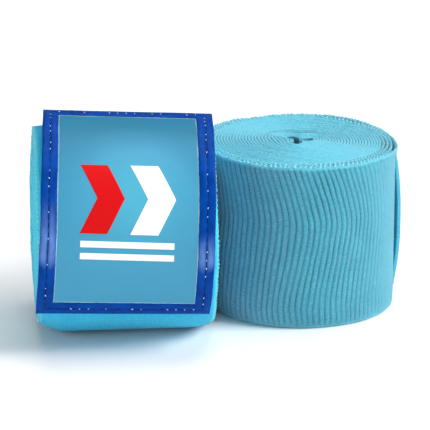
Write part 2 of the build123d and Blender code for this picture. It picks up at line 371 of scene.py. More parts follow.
class Nodes:
    """Short ways to add and join shader nodes."""

    def __init__(self, name):
        self.material = bpy.data.materials.new(name)
        self.material.use_nodes = True
        self.tree = self.material.node_tree
        self.bsdf = self.tree.nodes["Principled BSDF"]

    def add(self, kind, inputs=None, **settings):
        node = self.tree.nodes.new("ShaderNode" + kind)
        for key, value in settings.items():
            setattr(node, key, value)
        for key, value in (inputs or {}).items():
            self.put(node.inputs[key], value)
        return node

    def put(self, socket, value):
        if isinstance(value, bpy.types.NodeSocket):
            self.tree.links.new(value, socket)
        else:
            socket.default_value = value

    def attribute(self, name, output="Fac"):
        return self.add("Attribute", attribute_name=name).outputs[output]

    def scaled(self, vector, scale):
        return self.add("VectorMath", {0: vector, 1: scale}, operation="MULTIPLY").outputs[0]

    def math(self, operation, a, b=0.0, c=0.0):
        return self.add("Math", {0: a, 1: b, 2: c}, operation=operation).outputs[0]

    def plus(self, a, b):
        return self.math("ADD", a, b)

    def minus(self, a, b):
        return self.math("SUBTRACT", a, b)

    def times(self, a, b):
        return self.math("MULTIPLY", a, b)

    def waves(self, value, pitch):
        return self.math("SINE", self.times(value, 2 * math.pi / pitch))

    def noise(self, vector, scale, detail=3.0, rough=0.55):
        inputs = {"Vector": vector, "Scale": scale, "Detail": detail, "Roughness": rough}
        return self.add("TexNoise", inputs).outputs["Fac"]

    def ramp(self, value, stops):
        node = self.add("ValToRGB", {"Fac": value})
        for element, (place, colour) in zip(node.color_ramp.elements, stops):
            element.position = place
            element.color = (*colour, 1.0)
        return node.outputs["Color"]

    def mix(self, factor, a, b, blend="MIX"):
        node = self.add("Mix", data_type="RGBA", blend_type=blend)
        self.put(node.inputs[0], factor)
        self.put(node.inputs[6], (*a, 1.0) if isinstance(a, tuple) else a)
        self.put(node.inputs[7], (*b, 1.0) if isinstance(b, tuple) else b)
        return node.outputs[2]

    def bump(self, height, distance, strength):
        inputs = {"Height": height, "Distance": distance, "Strength": strength}
        return self.add("Bump", inputs).outputs["Normal"]

    def finish(self, **values):
        for key, value in values.items():
            self.put(self.bsdf.inputs[key.replace("_", " ")], value)
        return self.material


def srgb(r, g, b):
    """A linear colour from display values, 0 to 255."""
    return tuple(((v / 255 + 0.055) / 1.055) ** 2.4 if v > 10 else v / 255 / 12.92 for v in (r, g, b))


def tinted(colour, *shares):
    return tuple(c * k for c, k in zip(colour, shares))


def knit(name, light, dark, yarn=0.62, wale=0.74, depth=0.00016, sheen=0.1, selvedge=False):
    """Knitted or woven cloth: yarns run both ways in the fabric's own millimetres."""
    n = Nodes(name)
    fabric = n.attribute("fabric", "Vector")
    split = n.add("SeparateXYZ", {0: fabric})
    wobble = n.times(n.minus(n.noise(n.scaled(fabric, (0.6, 0.6, 1.0)), 1.0, 4.0), 0.5), 1.6)
    rows = n.waves(n.plus(split.outputs[1], wobble), yarn)
    wales = n.waves(n.plus(split.outputs[0], wobble), wale)
    weave = n.times(n.times(n.plus(rows, 1.0), n.plus(n.times(wales, 0.6), 1.2)), 0.25)
    fuzz = n.noise(fabric, 3.4, 4.0, 0.7)
    height = n.plus(n.times(weave, 0.7), n.times(fuzz, 1.1))
    nap = n.times(n.minus(n.noise(fabric, 1.5, 3.0, 0.7), 0.5), 0.9)
    tone = n.plus(n.plus(n.times(weave, 0.2), n.times(fuzz, 0.8)), nap)
    colour = n.ramp(tone, [(0.22, dark), (0.72, light)])
    patch = n.noise(n.scaled(fabric, (0.05, 0.09, 1.0)), 1.0, 2.0)
    colour = n.mix(0.16, colour, n.ramp(patch, [(0.35, dark), (0.65, light)]))
    # Painted shade: the folds' valleys, the gaps and the core are darker, and one side has the greyer
    # colour of shade; the selvedges are paler
    broken = n.times(n.attribute("valley"), n.plus(n.times(fuzz, 3.0), 0.7))
    colour = n.mix(n.math("MINIMUM", broken, 0.95), colour, tinted(dark, 0.9, 0.42, 0.46))
    colour = n.mix(n.attribute("painted_shade_grey"), colour, n.mix(1.0, colour, (2.4, 0.98, 0.99), "MULTIPLY"))
    if selvedge:
        from_edge = n.math("ABSOLUTE", n.minus(split.outputs[1], BAND_WIDTH / 2))
        beyond = n.math("MAXIMUM", n.minus(from_edge, BAND_WIDTH / 2 - 0.9), 0.0)
        pale = tuple(min(1.0, c * 1.25 + 0.07) for c in light)
        colour = n.mix(n.math("SMOOTH_MIN", beyond, 0.4, 0.1), colour, pale)
    return n.finish(Base_Color=colour, Roughness=0.9, Sheen_Weight=sheen, Sheen_Roughness=0.5,
                    Specular_IOR_Level=0.15, Normal=n.bump(height, depth, 0.9))


def satin(name, light, dark, painted_highlight):
    """Glossy satin tape with a fine diagonal twill and a painted highlight across its belly."""
    n = Nodes(name)
    fabric = n.attribute("fabric", "Vector")
    split = n.add("SeparateXYZ", {0: fabric})
    twill = n.waves(n.plus(split.outputs[0], n.times(split.outputs[1], 0.8)), 0.42)
    drift = n.noise(n.scaled(fabric, (0.22, 0.5, 1.0)), 1.0, 3.0)
    colour = n.ramp(n.plus(n.times(twill, 0.05), drift), [(0.3, dark), (0.7, light)])
    # A painted highlight: a paler colour across the tape's belly
    colour = n.mix(n.times(n.attribute("painted_highlight"), n.plus(drift, 0.2)), colour, painted_highlight)
    height = n.plus(n.times(twill, 0.3), n.times(drift, 2.0))
    return n.finish(Base_Color=colour, Roughness=n.plus(0.26, n.times(drift, 0.16)),
                    Specular_IOR_Level=0.05, Anisotropic=0.4, Normal=n.bump(height, 0.00005, 0.8))


def film(name, centre, edge, rim):
    """The label's matt printed film: painted light round its middle, painted shade towards its free end, a
    cloudy tone and a pale cut edge.
    """
    n = Nodes(name)
    fabric = n.attribute("fabric", "Vector")
    grain = n.noise(fabric, 2.6, 4.0, 0.6)
    cloud = n.noise(n.scaled(fabric, (0.06, 0.06, 1.0)), 1.0, 2.0)
    # Painted light and shade: lighter round the mark and darker towards the free end, with a cloudy tone
    tint = n.plus(n.attribute("glow"), n.times(n.minus(cloud, 0.5), 0.16))
    colour = n.mix(n.math("MAXIMUM", tint, 0.0), edge, centre)
    painted_shade_share = n.math("MINIMUM", n.math("MAXIMUM", n.times(tint, -1.8), 0.0), 1.0)
    colour = n.mix(painted_shade_share, colour, tinted(edge, 0.12, 0.56, 0.62))
    colour = n.mix(n.attribute("border"), colour, rim)
    return n.finish(Base_Color=colour, Roughness=n.plus(0.5, n.times(grain, 0.12)),
                    Specular_IOR_Level=0.35, Normal=n.bump(grain, 0.00003, 0.5))


def ink(name, colour):
    """Slightly raised screen print, with a faint mottle."""
    n = Nodes(name)
    grain = n.noise(n.attribute("fabric", "Vector"), 1.8, 4.0, 0.6)
    shade = n.ramp(grain, [(0.25, tinted(colour, 0.9, 0.9, 0.9)), (0.6, colour)])
    return n.finish(Base_Color=shade, Roughness=0.5, Specular_IOR_Level=0.15,
                    Normal=n.bump(grain, 0.00002, 0.5))


def thread(name, light, dark, shine=0.5):
    """Twisted sewing thread, patterned in the object's own space."""
    n = Nodes(name)
    place = n.add("TexCoord").outputs["Object"]
    strands = n.add("TexWave", {"Vector": place, "Scale": 900.0, "Distortion": 1.5},
                    bands_direction="DIAGONAL").outputs["Fac"]
    colour = n.ramp(strands, [(0.2, dark), (0.8, light)])
    return n.finish(Base_Color=colour, Roughness=0.5, Specular_IOR_Level=shine,
                    Sheen_Weight=0.3 * shine, Normal=n.bump(strands, 0.00005, 0.7))


# The two bands are the same cloth: the lying band's copy is lighter and bluer, painted light that stands in
# for light on its shaded sides
KNIT = {"lying": knit("lying_band_cloth", srgb(62, 208, 242), srgb(37, 170, 214), selvedge=True),
        "standing": knit("standing_band_cloth", srgb(86, 186, 206), srgb(56, 142, 168), sheen=0.3,
                         selvedge=True)}
YARN = thread("selvedge_yarn", srgb(156, 224, 236), srgb(90, 186, 206))
TAPE = knit("tape_cloth", srgb(104, 204, 230), srgb(48, 146, 182), 0.5, 0.55)
CLOSURE = knit("closure_cloth", srgb(100, 198, 222), srgb(54, 150, 182), 0.5, 0.5, 0.00008)
PILE = knit("loop_pile", srgb(90, 188, 216), srgb(34, 118, 152), 0.9, 0.9, 0.0002)
HOOKS = ink("hook_plastic", srgb(70, 170, 200))
SATIN = satin("satin_tape", srgb(1, 70, 163), srgb(0, 54, 133), srgb(124, 164, 226))
FILM = film("label_film", srgb(74, 174, 200), srgb(62, 150, 185), srgb(190, 226, 236))
RED = ink("mark_red", srgb(210, 4, 11))
WHITE = ink("mark_white", srgb(250, 252, 252))
THREAD = thread("blue_thread", srgb(4, 40, 112), srgb(1, 16, 60), 0.05)
GLINT = thread("pale_thread", srgb(246, 250, 255), srgb(206, 222, 250))
PLAIN = thread("turquoise_thread", srgb(110, 205, 228), srgb(52, 140, 176))


# ---- the bands

def stray(roll, phi, z):
    """How far the wound band strays outwards from its even spiral."""
    turn = phi / 360
    theta = phi + roll.turn
    rho = roll.radius - turn * roll.pitch
    low, high = z, BAND_WIDTH - z
    near_end = smooth(1.15 - np.minimum(low, high) / 4.0)
    core = np.exp(-np.clip(rho - CORE_REACH, 0, None) / roll.eye_fade) * near_end
    out = -roll.eye * core * (1.0 + np.cos(np.radians(3 * (theta - roll.eye_turn))))
    # Slack between turns opens a few dark gaps
    for at, angle, width, slack in roll.gaps:
        inside = smooth((at - rho) / 0.5) * np.exp(-np.clip(at - rho, 0, None) / roll.gap_fade)
        out = out - slack * inside * window(theta, angle, width)
    out = out + 0.05 * wander(theta / 30 + turn * 1.7, 3, 1.0)
    # The rolled-up edges are worn round
    fade = np.exp(-turn / roll.round_turns)
    ease = 1 - roll.round_ease * window(theta, *roll.ease_at)
    for end, depth, reach in zip((low, high), roll.round_depth, roll.round_reach):
        out = out - depth * ease * fade * np.clip(1 - end / reach, 0, 1) ** 2
    # The turns sink a little under the corner of the closure's root
    corner = window(theta, roll.turn + ROOT_ANGLE, 9) * smooth((z - 24) / 14)
    out = out - roll.seat * corner * np.exp(-turn / 2)
    # The outer end lies down on the turn below it, beside the closure
    beside = smooth((np.abs(z - BAND_WIDTH / 2) - 23.2) / 1.6)
    out = out - 0.8 * beside * smooth(1 - np.radians(phi) * roll.radius / 6.0) * (phi < 180)
    flare = roll.flare * window(theta, roll.flare_angle, 34) * np.exp(-3.0 * np.clip(turn - 0.75, 0, None))
    return out + flare * smooth(1 - high / 4.5)


def rise(roll, phi, length, end):
    """How far the band's edge stands out along the roll's axis: a slight dome, uneven turns and beads."""
    turn = phi / 360
    theta = np.radians(phi + roll.turn)
    rho = roll.radius - turn * roll.pitch
    dome = roll.dome[end] * (1 - (np.clip(rho, 0, None) / roll.radius) ** 4) + roll.proud[end]
    px, py = rho * np.cos(theta), rho * np.sin(theta)
    uneven = 0.15 * noise2(px / 5.5, py / 5.5, 5 + end) + 0.12 * noise2(px / 0.9, py / 0.9, 8 + end)
    uneven = uneven + 0.05 * wander(turn, 5 + end, 0.9)
    bead = np.abs(np.sin(math.pi * length / EDGE_BEAD)) ** 0.7
    jitter = hashed(np.floor(length / EDGE_BEAD), 3 + end)
    out = dome + uneven + (0.08 + 0.10 * jitter) * bead
    at = np.degrees(theta)
    tilt = sum(up * window(at, where, width) for where, width, up in roll.tilt[end])
    out = out + rho / roll.radius * tilt
    if end == 1 and roll is LYING:
        # The standing roll leans against this end and flattens it
        y = roll.origin[1] + rho * np.cos(theta)
        other = STANDING.origin
        beside = np.sqrt(np.clip(STANDING.radius ** 2 - (y - other[1]) ** 2, 0, None))
        room = other[0] - beside - roll.origin[0] - BAND_WIDTH - 0.45
        out = np.minimum(out, np.where(np.abs(y - other[1]) < STANDING.radius, room, 9.0))
    return out


def ribs(roll, length, phi, z):
    """The crowded folds that stretch raises across the outermost turn, and the painted shade in their
    valleys, by how deep these are.
    """
    theta = (phi + roll.turn) % 360
    f = (length / RIB_PITCH) % 1.0
    f = f + 0.07 * noise2(length / 2.3, z / 3.7, 14)
    ridge = np.abs(np.sin(math.pi * f)) ** 0.42
    ends = smooth((z - 0.2) / 2.2) * smooth((BAND_WIDTH - z) / 1.0)
    first, last = roll.rib_zone
    strength = roll.rib_height * smooth((theta - first) / 30) * smooth((last - theta) / 46)
    strength = np.maximum(strength, roll.rib_floor)
    patchy = 0.74 + 0.42 * noise2(length / 3.1, z / 6.5, 4) + 0.32 * noise2(length / 1.1, z / 1.9, 9)
    return (ridge - 0.62) * strength * np.clip(patchy, 0.25, 1.3) * ends, (1 - ridge) * strength * ends


def painted_recess_shade(roll, phi, depth):
    """Painted shade: how much darker the cloth is painted on the walls of the open gaps and in the core."""
    theta = phi + roll.turn
    rho = roll.radius - phi / 360 * roll.pitch - depth * roll.pitch
    out = 0.3 * smooth((5.4 - rho) / 1.0)
    for at, angle, width, slack in roll.gaps:
        near = np.exp(-((rho - at) / 0.5) ** 2)
        out = np.maximum(out, 0.7 * min(1.0, slack + 0.3) * np.sqrt(window(theta, angle, width)) * near)
    return out


def lean(z):
    """The folds' S shape: how far they are carried along the band at each height."""
    t = np.clip(1 - z / BAND_WIDTH, 0, 1)
    out = 1 - (1 - np.minimum(t / 0.365, 1)) ** 1.4
    back = np.clip((t - 0.33) / 0.55, 0, 1)
    return out - 0.8 * (0.5 * back + 0.5 * smooth(back)) + 0.1 * smooth((t - 0.85) / 0.15)


def band_steps(roll):
    """Angle and length from the band's outer end at each ring of points, and how many are fine ones."""
    fine, coarse = [0.0], []
    while fine[-1] < FOLDED_TURN:
        fine.append(fine[-1] + math.degrees(FINE_STEP / (roll.radius - 0.5)))
    at, total = fine[-1], 180.0 * roll.half_turns
    while at < total:
        at = min(total, at + math.degrees(COARSE_STEP / (roll.radius - int(at // 180) * roll.step)))
        coarse.append(at)
    phi = np.array(fine + coarse)
    middle = roll.radius - BAND_THICKNESS / 2 - roll.half_turn(phi) * roll.step
    length = np.concatenate([[0], np.cumsum(np.radians(np.diff(phi)) * middle[1:])])
    length[: len(fine)] = np.arange(len(fine)) * FINE_STEP
    return phi, length, len(fine)


def band_section():
    """The band's section, as shares of its thickness and heights, and which points the inner turns keep."""
    top = BAND_WIDTH
    outer = [BAND_RIM, 1.1, 2.3, 4.0, *np.linspace(4, top - 4, 21)[1:-1],
             top - 4.0, top - 2.3, top - 1.1, top - BAND_RIM]
    n = len(outer)
    section = [(0.0, z) for z in outer]
    section += [(0.15, top - 0.08), (0.5, top), (0.85, top - 0.08)]
    section += [(1.0, z) for z in (top - BAND_RIM, top - 4.0, 4.0, BAND_RIM)]
    section += [(0.85, 0.08), (0.5, 0.0), (0.15, 0.08)]
    return section, [0, 3, n - 4, n - 1, n, n + 1, n + 2, n + 3, n + 6, n + 7, n + 8, n + 9]


def band_rings(roll, phi, length, section, folds):
    """Points of the band's rings, with their place in the fabric and their painted shade: how dark and how
    grey they are.
    """
    depth, z = (np.array(column)[None, :] for column in zip(*section))
    phi, length = phi[:, None], length[:, None]
    if folds:
        carry = smooth((phi - 30) / 25) * smooth((250 - phi) / 30)
        drift = 0.5 * noise2(length / 6.0, z / 8.0, 2) + 0.14 * noise2(length / 1.3, z / 2.1, 5)
        swing = 0.7 + 0.3 * window(phi + roll.turn, 268, 60)
        phi = phi + np.degrees(carry * (roll.lean * swing * lean(z) + drift) / roll.radius)
    here, inner = stray(roll, phi, z), stray(roll, phi + 360, z)
    rho = roll.radius - roll.pitch * phi / 360
    loft = 0.97 + 0.35 * np.exp(-np.clip(rho - CORE_REACH, 0, None) / 3.0)
    thickness = np.clip(roll.pitch + here - inner - 0.05, 0.5, loft)
    half = roll.half_turn(phi)
    radius = roll.radius - half * roll.step + here - depth * thickness
    # Painted shade in the gaps, the core and the folds' valleys
    dark = painted_recess_shade(roll, phi, depth)
    if folds:
        fold, valley = ribs(roll, length, phi, z)
        clear = smooth((256 - phi) / 8) * smooth((phi - 26) / 10)
        radius = radius + fold * (1 - 0.6 * depth) * clear
        dark = np.maximum(valley * clear * (1 - depth), dark)
    c, s = heading(phi)
    share = z / BAND_WIDTH
    z_at = z + rise(roll, phi, length, 1) * smooth(share * 6 - 5)
    z_at = z_at - rise(roll, phi, length, 0) * smooth(1 - share * 6)
    if roll is STANDING:
        z_at = np.maximum(z_at, 0.02)
    points = roll.world(-roll.step * (half % 2) + radius * c, radius * s, z_at)
    fabric = np.stack(np.broadcast_arrays(length, z, phi / 36), -1)
    # Painted shade: the standing band's shaded side is given the greyer colour of shade
    painted_shade_grey = roll.painted_shade_grey * window(phi + roll.turn, *PAINTED_SHADE_ZONE) * (1 - depth) * smooth((400 - phi) / 40)
    shades = [np.broadcast_to(v, points.shape[:2]).ravel() for v in (dark, painted_shade_grey)]
    return points.reshape(-1, 3), fabric.reshape(-1, 3), *shades


def wound_band(roll):
    """The whole band as one closed strip, from its outer end to its core."""
    phi, length, fine = band_steps(roll)
    section, keep = band_section()
    kept = [section[k] for k in keep]
    parts = zip(band_rings(roll, phi[:fine], length[:fine], section, True),
                band_rings(roll, phi[fine:], length[fine:], kept, False))
    points, fabric, valley, painted_shade_grey = (np.concatenate(pair) for pair in parts)
    m, k, coarse = len(section), len(keep), len(phi) - fine
    base, last = fine * m, (fine - 1) * m
    faces = ring_quads(fine, m) + ring_quads(coarse, k, base)
    for j in range(k):
        first, stop = keep[j], keep[(j + 1) % k]
        run = list(range(first, stop + 1)) if stop > first else list(range(first, m)) + [0]
        faces.append([last + v for v in run] + [base + (j + 1) % k, base + j])
    faces.append(list(range(m))[::-1])
    faces.append([base + (coarse - 1) * k + j for j in range(k)])
    obj = make_object(roll.name + "_band_cloth", points, faces, [KNIT[roll.name]], fabric,
                      {"valley": valley, "painted_shade_grey": painted_shade_grey})
    dress(obj, roll.name + "_band", roll.body)


def selvedge(roll):
    """The picot edge: a row of small plump yarn loops along both rims of the outermost turns."""
    paths = []
    f = np.array([-1.0, -0.6, 0.0, 0.6, 1.0])
    for end in (0, 1):
        for k in range(int(roll.picot_turns * 2 * math.pi * roll.radius / EDGE_BEAD)):
            s = (k + 0.5) * EDGE_BEAD + 0.5 * (hashed(k, 2 + end) - 0.5)
            phi = math.degrees(s / (roll.radius - 0.45 - s / (2 * math.pi * roll.radius) * roll.pitch / 2))
            half = int(phi // 180)
            p = phi + np.degrees(f * (0.30 + 0.12 * hashed(k, 5)) / roll.radius)
            z = np.full(5, BAND_WIDTH - 0.1 if end else 0.1)
            deep = 0.34 + f * 0.16 + 0.12 * (hashed(k, 8 + end) - 0.5)
            r = roll.radius - half * roll.step + stray(roll, p, z) - deep
            front = 0.45 + 0.55 * window(phi + roll.turn, 285, 110)
            plump = (0.14 + 0.12 * (1 - f * f)) * front - 0.08 * (1 - front)
            out = rise(roll, p, np.full(5, EDGE_BEAD / 2), end) + plump
            z = z + (out if end else -out)
            if roll is STANDING:
                z = np.maximum(z, 0.3)
            c, s = heading(p)
            paths.append(roll.world(-roll.step * (half % 2) + r * c, r * s, z))
    sizes = [0.25 + 0.06 * hashed(k, 4) for k in range(len(paths))]
    obj = tubes_object(roll.name + "_selvedge_yarn", paths, sizes, [YARN])
    dress(obj, roll.name + "_band", roll.body)


# ---- the closures

def laid(roll, along, height, radius):
    """A point of the closure as worn: the whole tab waves a little and its corners may hug the roll."""
    reach = roll.length
    wave = 0.11 + 0.11 * noise2(along / 8.0, height / 9.0, roll.wave_seed)
    wave = wave * smooth(along / 9.0) * (0.55 + 0.45 * smooth((np.abs(height) - 12) / 10))
    corner = np.minimum(np.abs(height + 1.5) / 22.5, 1.0) ** 2.4 * smooth((along - reach + 24) / 16)
    free = smooth((along - reach + 30) / 30)
    drift = 0.10 * wander(along / 7.0, 2, 1.0) * np.sign(height) * smooth((np.abs(height) - 15) / 9)
    nip = roll.nip * np.clip(-height, 0, None) * along / reach
    across = (height + drift) * roll.squeeze + nip + roll.shift + roll.slant * (along - reach / 2)
    raised = radius + wave - roll.hug * corner - roll.droop * (height + 8) * free
    return roll.on_closure(along - 1.35 * roll.slant * height, across, raised)


def laid_sheet(name, roll, along, height, bottom, top, material, values=None):
    """A closed sheet between two faces on the closure, from a grid of positions."""
    return sheet_object(name, along, height, laid(roll, along, height, top),
                        laid(roll, along, height, bottom), material, values)


def from_edges(along, height, start, stop, width):
    """The distance in from the nearest edge of part of the closure."""
    return np.minimum(np.minimum(along - start, stop - along), width / 2 - np.abs(height))


def rectangle(start, stop, width, step, rim):
    """A grid over part of the closure, and how rounded its faces are at each point of it."""
    along, height = np.meshgrid(start + spaced(stop - start, step, rim),
                                spaced(width, step, rim) - width / 2, indexing="ij")
    return along, height, rounded(from_edges(along, height, start, stop, width), rim)


def binding(roll, end):
    """One length of satin tape, mitred at both ends and laid on the label along the closure's edge."""
    sideways = end in ("left", "right")
    run = roll.length - roll.hem if sideways else CLOSURE_WIDTH
    profile = np.array(TAPE_TOP + TAPE_UNDER)
    inset, lift = profile[:, 0][None, :], profile[:, 1][None, :]
    top = np.arange(len(profile))[None, :] < len(TAPE_TOP)
    t = spaced(run, 0.42, 0.8)[:, None] / run
    along_edge = inset + 0.03 + t * (run - 2 * inset - 0.06)
    # Each stitch pulls the tape down at its needle holes
    stitches = int((run - 2 * SEAM) / STITCH_PITCH)
    pulled = 0.5 + 0.5 * np.cos(2 * math.pi * (along_edge - SEAM) / (run - 2 * SEAM) * stitches)
    near = np.exp(-((inset - SEAM) / 0.45) ** 2)
    crown = np.exp(-((np.abs(inset - SEAM) - 1.3) / 0.8) ** 2)
    soft = 0.045 * noise2(along_edge / 2.9, inset / 1.4, 6) + 0.03 * (1 - pulled) * crown
    lift = lift + np.where(top, soft - 0.10 * near * pulled, 0.0)
    frayed = 0.05 * wander(along_edge, 4, 0.6) + 0.05 * wander(along_edge, 9, 2.4)
    inset = np.broadcast_to(inset, lift.shape) + frayed * (inset > 4.5)
    if sideways:
        along, height = along_edge, (EDGE - inset) * (1 if end == "right" else -1)
    else:
        along, height = inset if end == "root" else roll.length - roll.hem - inset, along_edge - EDGE
    points = laid(roll, along, height, roll.label_outer + lift)
    rings, m = points.shape[:2]
    fabric = np.stack([along_edge, inset, 0 * along_edge + roll.turn], -1).reshape(-1, 3)
    # The painted highlight lies across the belly of the side tapes, and not on the seam
    share = along_edge / run + 0.012 * noise2(along_edge / 2.0, inset / 1.3, 4)
    far = 0.50 if end == "left" else 0.38
    belly = smooth((share - 0.215) / 0.055) * smooth((far - share) / (far - 0.26))
    patchy = 0.95 + 0.3 * noise2(along_edge / 4.0, inset / 1.3, 7)
    painted_highlight = (1.15 if sideways else 0.0) * belly * patchy * np.exp(-((inset - SEAM) / 2.1) ** 4)
    painted_highlight = painted_highlight * (1 - 0.85 * np.exp(-((inset - SEAM) / 0.42) ** 2))
    node = "%s_binding_%s" % (roll.name, end)
    faces = ring_quads(rings, m) + end_caps(rings, m)
    obj = make_object(node + "_tape", points, faces, [SATIN], fabric, {"painted_highlight": painted_highlight})
    return dress(obj, node, roll.flap)


def seam_frame(start, stop, width, pitch):
    """Four seams round a rectangle: the coordinate that stays, start, stop, pitch, whether lengthways."""
    half = width / 2
    return [(-half, start, stop, pitch, True), (half, start, stop, pitch, True),
            (start, -half, half, pitch, False), (stop, -half, half, pitch, False)]


def stitch_paths(place, seams, spread, across, radius):
    """Short curved threads along seams, each diving into the cloth at both ends."""
    paths = []
    for fixed, start, stop, pitch, lengthways in seams:
        count = int((stop - start) / pitch)
        for middle in start + (np.arange(count) + 0.5) * (stop - start) / count:
            line, other = middle + spread, fixed + across(middle)
            along, height = (line, other) if lengthways else (other, line)
            paths.append(place(along, height, radius))
    return paths


def plain_thread(roll, piece, node, body, paths, radius=PANEL_THREAD):
    """Turquoise thread along paths, as one piece."""
    obj = tubes_object("%s_%s" % (roll.name, piece), paths, radius, [PLAIN])
    dress(obj, "%s_%s" % (roll.name, node), body)


def worn_stitches(roll, seams, length, surface, sink):
    """Stitches that follow the closure as worn, a little out of line."""
    def across(middle):
        return 0.09 * wander(middle, 11, 3.1) + np.linspace(-0.05, 0.05, 7)

    return stitch_paths(lambda *at: laid(roll, *at), seams, STITCH_ALONG * length, across,
                        surface + STITCH_LIFT * sink)


def glints(roll, seams):
    """Pale specks at some needle holes."""
    paths = []
    for number, (fixed, start, stop, pitch, lengthways) in enumerate(seams):
        count = int((stop - start) / pitch)
        for k in range(1, count):
            if hashed(k, number + 1.5) < 0.35:
                continue
            middle = start + (stop - start) * k / count
            size = 0.16 + 0.36 * hashed(k, number + 7.2)
            aside = 0.16 * (hashed(k, number + 3.3) - 0.5)
            line = middle + np.linspace(-0.5, 0.5, 4) * size
            across = fixed + aside + np.linspace(-0.4, 0.4, 4) * size * (hashed(k, 9.0) - 0.5)
            along, height = (line, across) if lengthways else (across, line)
            paths.append(laid(roll, along, height, roll.label_outer + 0.24 + 0.05 * np.array([0, 1, 1, 0])))
    return paths


def backing_cloth(roll):
    """The closure's cloth, turned under at its root."""
    length = roll.length
    along, height, round_in = rectangle(0.0, length, CLOSURE_WIDTH, 0.9, 0.34)
    thick = (roll.label_inner - roll.backing_inner) / 2 - 0.01
    middle = (roll.label_inner + roll.backing_inner) / 2
    grain = 0.05 * noise2(along / 0.8, height / 0.8, 5)
    # It is folded up round the label's edge, and rolled over the tape at a hemmed free end
    inside = from_edges(along, height, 0.0, length, CLOSURE_WIDTH)
    lip = (roll.label_outer - roll.label_inner - 0.03) * smooth((0.36 - inside) / 0.06)
    if roll.hem:
        rolled = smooth((length - along) / 0.02 + 0.5) * smooth((roll.hem - length + along) / 0.12 + 0.5)
        lip = lip + (BINDING_THICKNESS + 0.12) * rolled
    under = smooth((roll.along(ROOT_ANGLE - 3) - along) / 0.5) * (HOOK_THICKNESS - 0.04)
    bottom = middle - thick * round_in - under * (0.25 + 0.75 * round_in) + np.minimum(grain, 0.02)
    obj = laid_sheet(roll.name + "_closure_backing_cloth", roll, along, height, bottom,
                     middle + (thick + lip) * round_in, CLOSURE)
    dress(obj, roll.name + "_closure_backing", roll.flap)


def label_film(roll):
    """The label, with its pale cut edge along the tapes."""
    length = roll.length
    near = np.array([0.38, 0.5, 1.5, 3.0, 4.6, 4.82, 4.88, 5.04, 5.1])
    line, cross = (np.concatenate([near, np.linspace(5.8, span - 5.8, count), (span - near)[::-1]])
                   for span, count in ((length, 66), (CLOSURE_WIDTH, 38)))
    along, height = np.meshgrid(line, cross - EDGE, indexing="ij")
    inside = from_edges(along, height, 0.0, length, CLOSURE_WIDTH)
    # Painted light round the mark, and painted shade darker towards the free end
    glow = np.exp(-(((along - roll.along(MARK_ANGLE) - 1.5) / 15) ** 2 + ((height - 3.0) / 13) ** 2))
    glow = glow - 0.86 * np.clip(along / length, 0, 1) ** 2
    border = smooth((inside - 4.6) / 0.2) * smooth((5.08 - inside) / 0.06)
    border = border * (0.62 + 0.38 * noise2(along / 3.0, height / 3.0, 8))
    obj = laid_sheet(roll.name + "_label_film", roll, along, height, roll.label_inner + 0.01,
                     roll.label_outer - 0.03 * border, FILM, {"glow": glow, "border": border})
    return dress(obj, roll.name + "_label_face", roll.flap)


def printed(roll, name, slot, along, height, round_in, material):
    """A slightly raised print on the label."""
    obj = laid_sheet("%s_%s_print" % (roll.name, name), roll, along, height,
                     np.full_like(along, roll.label_outer + 0.004),
                     roll.label_outer + PRINT_RAISE + PRINT_EDGE * round_in, material)
    return dress(obj, "%s_label_%s" % (roll.name, slot), roll.flap)


def generic_mark(roll):
    """Two chevrons over two bars."""
    origin = roll.along(MARK_ANGLE)
    prints = []
    across = spaced(1.0, 0.09, 0.03)
    arm = spaced(1.0, 0.08, 0.022)
    v, u = np.meshgrid(np.concatenate([arm - 1.0, arm[1:]]), across, indexing="ij")
    for side, slot, material in ((-1, "mark_red", RED), (1, "mark_white", WHITE)):
        left = side * CHEVRON_SPACING / 2 - CHEVRON_WIDTH / 2
        height = left + (CHEVRON_WIDTH - CHEVRON_STROKE) * (1 - np.abs(v)) + CHEVRON_STROKE * u
        inside = np.minimum(np.minimum(u, 1 - u) * CHEVRON_STROKE * 0.9,
                            (1 - np.abs(v)) * CHEVRON_HEIGHT / 2)
        prints.append(printed(roll, "label_" + slot, slot, origin + CHEVRON_HEIGHT / 2 * v, height,
                              rounded(inside, 0.2), material))
    for number, drop in enumerate(BAR_DROPS):
        middle, half = origin - drop, BAR_HEIGHT / 2
        grid = rectangle(middle - half, middle + half, BAR_LENGTH, 0.6, 0.2)
        prints.append(printed(roll, "label_bar_%d" % (number + 1), "mark_white", *grid, WHITE))
    return prints


def binding_thread(roll):
    """The row of stitches down the middle of each tape, with pale specks at its holes."""
    seams = seam_frame(SEAM, roll.length - roll.hem - SEAM, CLOSURE_WIDTH - 2 * SEAM, STITCH_PITCH)
    threads = worn_stitches(roll, seams, BINDING_STITCH_LENGTH, roll.label_outer + 0.20, 0.2)
    specks = glints(roll, seams)
    radii = [BINDING_THREAD] * len(threads) + [GLINT_THREAD] * len(specks)
    which = [0] * len(threads) + [1] * len(specks)
    obj = tubes_object(roll.name + "_binding_thread", threads + specks, radii, [THREAD, GLINT], which)
    return dress(obj, roll.name + "_binding_stitches", roll.flap)


